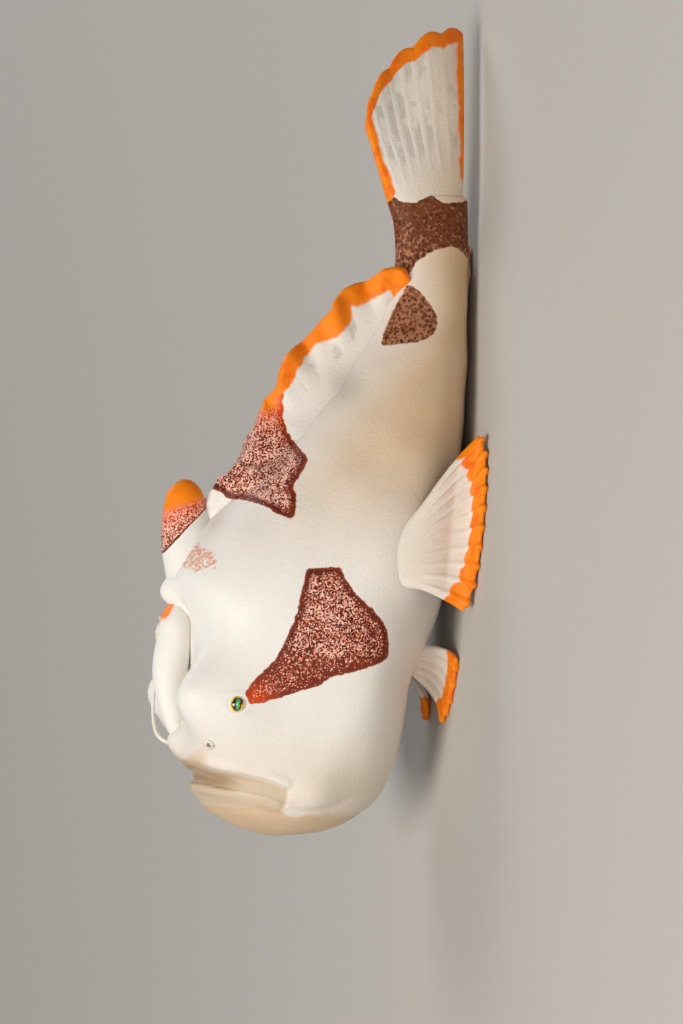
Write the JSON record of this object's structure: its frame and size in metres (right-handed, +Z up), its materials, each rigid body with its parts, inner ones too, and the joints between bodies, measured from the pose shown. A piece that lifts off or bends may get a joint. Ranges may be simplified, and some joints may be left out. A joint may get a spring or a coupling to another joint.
{
  "type": "frogfish",
  "caption": "Small white frogfish at rest on its limb-like fins, with a clubbed second spine, a lure, blotched flanks and orange fin edges.",
  "frame": {"origin": "on the floor under the middle of the part's box", "axes": "+X towards the head, along the fish's length; +Y to the fish's left; +Z up from the floor"},
  "size_m": [0.0716, 0.026, 0.0258],
  "materials": {
    "skin": "soft satin skin with fine grain",
    "fins": "soft satin fin skin over rays",
    "eyes": "wet gloss"
  },
  "bodies": {
    "root": {"head": "skin", "lower_jaw": "skin", "trunk": "skin", "tail_stalk": "skin", "tail_fin": "fins", "soft_dorsal_fin": "fins", "anal_fin": "fins", "second_dorsal_spine": "skin", "third_dorsal_spine": "fins", "illicium": "skin", "esca": "skin", "eye_left": "eyes", "eye_right": "eyes", "pectoral_arm_left": "skin", "pectoral_arm_right": "skin", "pectoral_fin_left": "fins", "pectoral_fin_right": "fins", "pelvic_fin_left": "fins", "pelvic_fin_right": "fins"}
  },
  "joints": []
}
